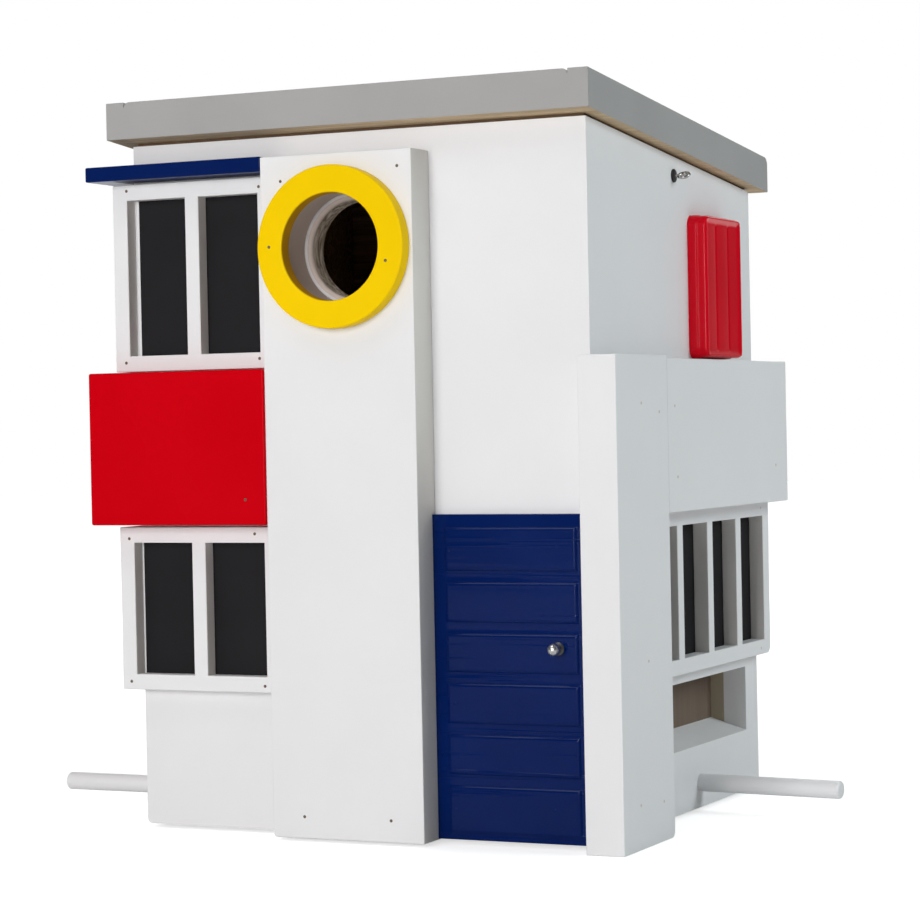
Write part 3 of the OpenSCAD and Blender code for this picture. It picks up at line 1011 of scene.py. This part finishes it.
class BuildRecesses(bpy.types.Operator):
    """Builds the boards round and behind the two recesses, and their sills"""

    bl_idname = "nest_box.recesses"
    bl_label = "Side recesses"

    # The recess's faces lie below this height over its sill
    OPEN_HIGH = 40.0

    def execute(self, context):
        inner, thin = stained_inner(), liner_paint()
        white = white_across()
        for side in ("right", "left"):
            low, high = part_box(side + "_recess_sill")

            def opening(face, low=low, high=high):
                at = face.calc_center_median()
                level = low.z - MM < at.z < high.z + self.OPEN_HIGH * MM
                within = low.y - TOUCH < at.y < high.y + TOUCH
                return 1 if level and within and abs(face.normal.x) < 0.5 else 0

            node = side + "_recess_liner"
            piece(node + "_stained", copy_of(node), (inner, thin), "raw_plywood", node, pick=opening)
            node = side + "_recess_back"
            piece(node + "_stained", copy_of(node), (inner,), "raw_plywood", node)
            node = side + "_recess_sill"
            piece(node + "_painted", copy_of(node), (white,), "white_paint", node)
        return {"FINISHED"}


class BuildPerches(bpy.types.Operator):
    """Builds the two dowel perches"""

    bl_idname = "nest_box.perches"
    bl_label = "Perches"

    # The right perch is set a little towards the front
    RIGHT_LEAN = math.radians(5.5)

    def execute(self, context):
        # White emulsion on a birch dowel, thin enough to show the round of the grain
        finish = paint("EmulsionOnDowel", colours().white, X, 0.9, 25, 0.05, 0.55, 0.97)
        for node, out, lean in (("right_perch", 1, self.RIGHT_LEAN), ("left_perch", -1, 0.0)):
            low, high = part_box(node)
            radius = (high.y - low.y) / 2
            root = low.x if out > 0 else high.x
            centre = Vector((root, (low.y + high.y) / 2, (low.z + high.z) / 2))
            # The lean turns on the middle of the bore's mouth, so that the dowel still fills it
            centre.y += (HALF_W - abs(root)) * math.tan(lean)
            reach = high.x - low.x
            end = sizes().perch_end
            profile = [(0.0, 0.0), (0.0, radius), (reach - end, radius)]
            profile += arc(reach - end, radius - end, end, 0, 90, 5)[1:]
            profile += [(reach, 0.0)]
            bm = bmesh.new()
            turned(bm, centre, (out * math.cos(lean), -math.sin(lean), 0), profile, 40)
            piece(node + "_dowel", bm, (finish,), "white_paint", node)
        return {"FINISHED"}


class BuildEyes(bpy.types.Operator):
    """Builds the two screw eyes for hanging, with their washers"""

    bl_idname = "nest_box.eyes"
    bl_label = "Screw eyes"

    # Radii of the wire and of the eye's hole, the washer's thickness and the shank's length in wood
    WIRE, HOLE = 0.75, 1.6
    WASHER_T = 0.8
    SHANK_IN = 8.0
    # The eye is turned on its shank until it lies nearly level
    TURN = math.radians(62)
    # The part of the circle that the bent wire leaves open
    GAP = math.radians(24)

    def execute(self, context):
        steel = plated_steel("ZincPlateDrawn", 0.25, 0.85)
        # The washers' steel is given near black
        dark = plated_steel("SteelPressedNearBlack", 0.4, 0.06)
        for node, out in (("right_eye_screw", 1), ("left_eye_screw", -1)):
            self.eye(node, out, steel, dark)
        return {"FINISHED"}

    def eye(self, node, out, steel, dark):
        low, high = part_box(node)
        tip = high.x if out > 0 else low.x
        wall = out * HALF_W
        centre = Vector((0, (low.y + high.y) / 2, (low.z + high.z) / 2))
        wire_r = self.WIRE * MM
        washer_r = (high.z - low.z) / 2
        eye_r = self.HOLE * MM + wire_r
        middle_x = tip - out * (eye_r + wire_r)
        flat = Vector((0, math.sin(self.TURN), math.cos(self.TURN)))
        path = [Vector((wall - out * self.SHANK_IN * MM, centre.y, centre.z))]
        path.append(Vector((wall, centre.y, centre.z)))
        turns = 28
        hub = Vector((middle_x, centre.y, centre.z))
        for k in range(turns + 1):
            t = (2 * math.pi - self.GAP) * k / turns
            path.append(hub + (Vector((-out, 0, 0)) * math.cos(t) + flat * math.sin(t)) * eye_r)
        bm = bmesh.new()
        wire(bm, path, wire_r)
        piece(node + "_bent", bm, (steel,), "steel", node)
        thick = self.WASHER_T * MM
        profile = [(0.0, wire_r), (0.0, washer_r), (thick * 0.7, washer_r), (thick, washer_r * 0.9)]
        profile += [(thick, wire_r)]
        bm = bmesh.new()
        turned(bm, Vector((wall, centre.y, centre.z)), (out, 0, 0), profile, 36)
        piece(node + "_washer", bm, (dark,), "steel")


class BuildPins(bpy.types.Operator):
    """Builds the panel pins that hold the boards"""

    bl_idname = "nest_box.pins"
    bl_label = "Panel pins"

    # Each board's face, and how far its pins stand in from the board's edges in millimetres:
    # from the low end if above zero and from the high end if below zero
    FRONT_PINS = (
        ("tall_front_board", ((9.9, -10.8), (-6.5, -7.2), (15.3, 9.3), (-15.4, 9.3))),
        ("front_upper_window_frame", ((7.2, -2.7), (-6.4, -4.2), (5.3, 4.0), (-7.6, 4.2))),
        ("front_lower_window_frame", ((4.8, -5.1), (-11.9, -3.0), (4.5, 3.6), (-8.3, 2.9))),
        ("entrance_ring", ((5.8, 35.4), (-8.0, 27.5))),
        ("front_red_board", ((-9.9, 11.0),)),
    )
    DOOR_PINS = (
        ("blue_door", ((7.8, -15.5), (-14.8, -13.4), (9.5, 57.6), (9.0, 13.1), (-17.9, 14.4))),
    )
    RIGHT_PINS = (
        ("corner_post", ((27.6, -20.1), (-10.0, -23.8), (30.7, 77.0), (19.0, 18.6), (-12.8, 16.9))),
        ("right_balcony_board", ((8.4, -20.3), (10.6, 15.1), (-17.0, 17.2))),
        ("slatted_window_frame", ((-11.1, -3.2), (-13.6, 3.0))),
    )
    # A head's section: height over the board against share of the head's radius
    DOME = ((-0.3, 1.0), (0.02, 1.0), (0.1, 0.8), (0.16, 0.4), (0.18, 0.0))

    def execute(self, context):
        bm = bmesh.new()
        for node, places in self.FRONT_PINS:
            self.pins(bm, node, places, Y, -1)
        piece("front_pins_set", bm, (pin_steel(),), "steel")
        bm = bmesh.new()
        for node, places in self.RIGHT_PINS:
            self.pins(bm, node, places, X, 1)
        piece("right_pins_painted", bm, (thin_paint(),), "white_paint")
        bm = bmesh.new()
        for node, places in self.DOOR_PINS:
            self.pins(bm, node, places, Y, -1)
        piece("door_pins_painted", bm, (canopy_blue(),), "blue_paint")
        return {"FINISHED"}

    def pins(self, bm, node, places, axis, way):
        """Domed heads on the outer face of a board that looks along an axis."""
        low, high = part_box(node)
        wide = X if axis == Y else Y
        head = sizes().pin_head
        for across, up in places:
            at = Vector((0, 0, 0))
            at[axis] = (high if way > 0 else low)[axis]
            at[wide] = (low[wide] if across > 0 else high[wide]) + across * MM
            at.z = (low.z if up > 0 else high.z) + up * MM
            out = Vector((0, 0, 0))
            out[axis] = way
            profile = [(along * MM, head * share) for along, share in self.DOME]
            turned(bm, at, out, profile, 12)


class SetStage(bpy.types.Operator):
    """Sets the floor, the studio light and the camera"""

    bl_idname = "nest_box.stage"
    bl_label = "Stage"

    # The camera stands in front and to the right, level with the red balcony
    CAMERA_AT = (0.54886, -1.15878, 0.17876)
    YAW, PITCH, ROLL = 25.289, -0.8325, -1.1465
    LENS, SENSOR = 108.89, 36.0
    AMBIENT = 0.105
    # The way from the camera to the white backdrop behind the box
    BACKDROP = (-0.42, 0.9, 0.0)
    # name, azimuth, elevation, distance, size across, watts and colour
    LAMPS = (
        ("key", 0, 10, 2.2, 0.9, 27.5, "FFFFFF"),
        ("top", -25, 58, 2.0, 0.8, 6, "FFFFFF"),
        ("side", 98, 27, 2.0, 0.9, 17.4, "EBF6F8"),
        ("back_fill", 190, 30, 2.4, 1.4, 18, "FFFFFF"),
        ("left_fill", -100, 20, 2.2, 1.2, 8, "FFFFFF"),
    )
    # Where the floor starts and ends its change from lit to plain white
    FLOOR_NEAR, FLOOR_FAR = 0.35, 1.3

    def execute(self, context):
        scene = context.scene
        scene.view_settings.view_transform = "Standard"
        self.world(scene)
        self.floor(scene)
        aim = (CAD_BOX[0] + CAD_BOX[1]) / 2
        for name, azimuth, elevation, distance, size, watts, tint in self.LAMPS:
            self.lamp(scene, name, azimuth, elevation, distance, size, watts, tint, aim)
        self.camera(scene)
        return {"FINISHED"}

    def seen(self, tree, behind, plain):
        """1 for a ray from the camera. A ray from a mirror-like surface or through clear glass
        gets behind, and any other ray gets plain."""
        path = add(tree, "ShaderNodeLightPath").outputs
        mirror = add(
            tree,
            "ShaderNodeMath",
            {0: path["Is Glossy Ray"], 1: path["Is Transmission Ray"]},
            operation="MAXIMUM",
        ).outputs[0]
        back = add(tree, "ShaderNodeMath", {0: mirror, 1: behind}, operation="MULTIPLY").outputs[0]
        direct = add(
            tree, "ShaderNodeMath", {0: back, 1: path["Is Camera Ray"]}, operation="MAXIMUM"
        ).outputs[0]
        return add(tree, "ShaderNodeMath", {0: direct, 1: plain}, operation="MAXIMUM").outputs[0]

    def world(self, scene):
        """Plain white where it is seen, and a low even light everywhere else. In reflections
        the backdrop is white behind the box and dims towards the front of the studio."""
        world = bpy.data.worlds.new("studio")
        world.use_nodes = True
        tree = world.node_tree
        tree.nodes.clear()
        way = add(tree, "ShaderNodeTexCoord").outputs["Generated"]
        facing = add(
            tree, "ShaderNodeVectorMath", {0: way, 1: self.BACKDROP}, operation="DOT_PRODUCT"
        ).outputs["Value"]
        behind = between(tree, facing, 0.72, 0.9, self.AMBIENT, 1.0)
        strength = self.seen(tree, behind, self.AMBIENT)
        sky = add(tree, "ShaderNodeBackground", {"Color": (1, 1, 1, 1), "Strength": strength})
        output = add(tree, "ShaderNodeOutputWorld")
        tree.links.new(sky.outputs[0], output.inputs["Surface"])
        scene.world = world

    def floor(self, scene):
        """A pale floor that keeps the box's shadow and turns plain white further out."""
        material, tree, shader, place = new_material("PaperFloor", **{"Roughness": 0.9})
        shader.inputs["Base Color"].default_value = linear("E6E6E6")
        shader.inputs["Specular IOR Level"].default_value = 0.0
        spread = add(tree, "ShaderNodeVectorMath", {0: place}, operation="LENGTH").outputs["Value"]
        lift = between(tree, spread, self.FLOOR_NEAR, self.FLOOR_FAR, 0.62, 1.0)
        back = add(
            tree, "ShaderNodeVectorMath", {0: place, 1: self.BACKDROP}, operation="DOT_PRODUCT"
        ).outputs["Value"]
        behind = between(tree, back, 0.15, 0.5, 0.0, 1.0)
        glow = add(
            tree, "ShaderNodeMath", {0: lift, 1: self.seen(tree, behind, 0.0)}, operation="MULTIPLY"
        ).outputs[0]
        shader.inputs["Emission Color"].default_value = (1, 1, 1, 1)
        tree.links.new(glow, shader.inputs["Emission Strength"])
        bm = bmesh.new()
        bmesh.ops.create_circle(bm, cap_ends=True, segments=96, radius=6.0)
        mesh = bpy.data.meshes.new("floor")
        bm.to_mesh(mesh)
        bm.free()
        mesh.materials.append(material)
        floor = bpy.data.objects.new("floor", mesh)
        scene.collection.objects.link(floor)

    def lamp(self, scene, name, azimuth, elevation, distance, size, watts, tint, aim):
        """A square soft box that looks at the middle of the nest box."""
        a, e = math.radians(azimuth), math.radians(elevation)
        out = Vector((math.sin(a) * math.cos(e), -math.cos(a) * math.cos(e), math.sin(e)))
        data = bpy.data.lights.new(name, "AREA")
        data.shape = "SQUARE"
        data.size = size
        data.energy = watts
        data.color = linear(tint)[:3]
        lamp = bpy.data.objects.new(name, data)
        lamp.visible_camera = False
        lamp.location = aim + out * distance
        lamp.rotation_euler = (-out).to_track_quat("-Z", "Y").to_euler()
        scene.collection.objects.link(lamp)

    def camera(self, scene):
        yaw, pitch, roll = (math.radians(v) for v in (self.YAW, self.PITCH, self.ROLL))
        ahead = Vector(
            (-math.sin(yaw) * math.cos(pitch), math.cos(yaw) * math.cos(pitch), math.sin(pitch))
        )
        level = Vector((math.cos(yaw), math.sin(yaw), 0))
        upright = level.cross(ahead)
        right = level * math.cos(roll) + upright * math.sin(roll)
        up = upright * math.cos(roll) - level * math.sin(roll)
        data = bpy.data.cameras.new("camera")
        data.sensor_width = self.SENSOR
        data.lens = self.LENS
        data.clip_start = 0.05
        data.clip_end = 50
        camera = bpy.data.objects.new("camera", data)
        turn = Matrix((right, up, -ahead)).transposed().to_4x4()
        camera.matrix_world = Matrix.Translation(self.CAMERA_AT) @ turn
        scene.collection.objects.link(camera)
        scene.camera = camera


class NestBoxPanel(bpy.types.Panel):
    """Lists the steps that build the nest box"""

    bl_idname = "VIEW3D_PT_nest_box"
    bl_label = "Nest Box"
    bl_space_type = "VIEW_3D"
    bl_region_type = "UI"
    bl_category = "Nest Box"

    def draw(self, context):
        for step in STEPS:
            self.layout.operator(step.bl_idname)
        for group in (sizes(), colours()):
            for key in group.__annotations__:
                self.layout.prop(group, key)


STEPS = (
    BuildWalls,
    BuildRoof,
    BuildFrontBoards,
    BuildRightBoards,
    BuildWindows,
    BuildDoor,
    BuildEntrance,
    BuildShutters,
    BuildRecesses,
    BuildPerches,
    BuildEyes,
    BuildPins,
    SetStage,
)
CLASSES = (NestBoxSizes, NestBoxColours, *STEPS, NestBoxPanel)


def register():
    for kind in CLASSES:
        bpy.utils.register_class(kind)
    bpy.types.Scene.nest_box_sizes = bpy.props.PointerProperty(type=NestBoxSizes)
    bpy.types.Scene.nest_box_colours = bpy.props.PointerProperty(type=NestBoxColours)


def unregister():
    del bpy.types.Scene.nest_box_colours
    del bpy.types.Scene.nest_box_sizes
    for kind in reversed(CLASSES):
        bpy.utils.unregister_class(kind)


def main():
    register()
    for step in STEPS:
        family, name = step.bl_idname.split(".")
        getattr(getattr(bpy.ops, family), name)()


if __name__ == "__main__":
    main()
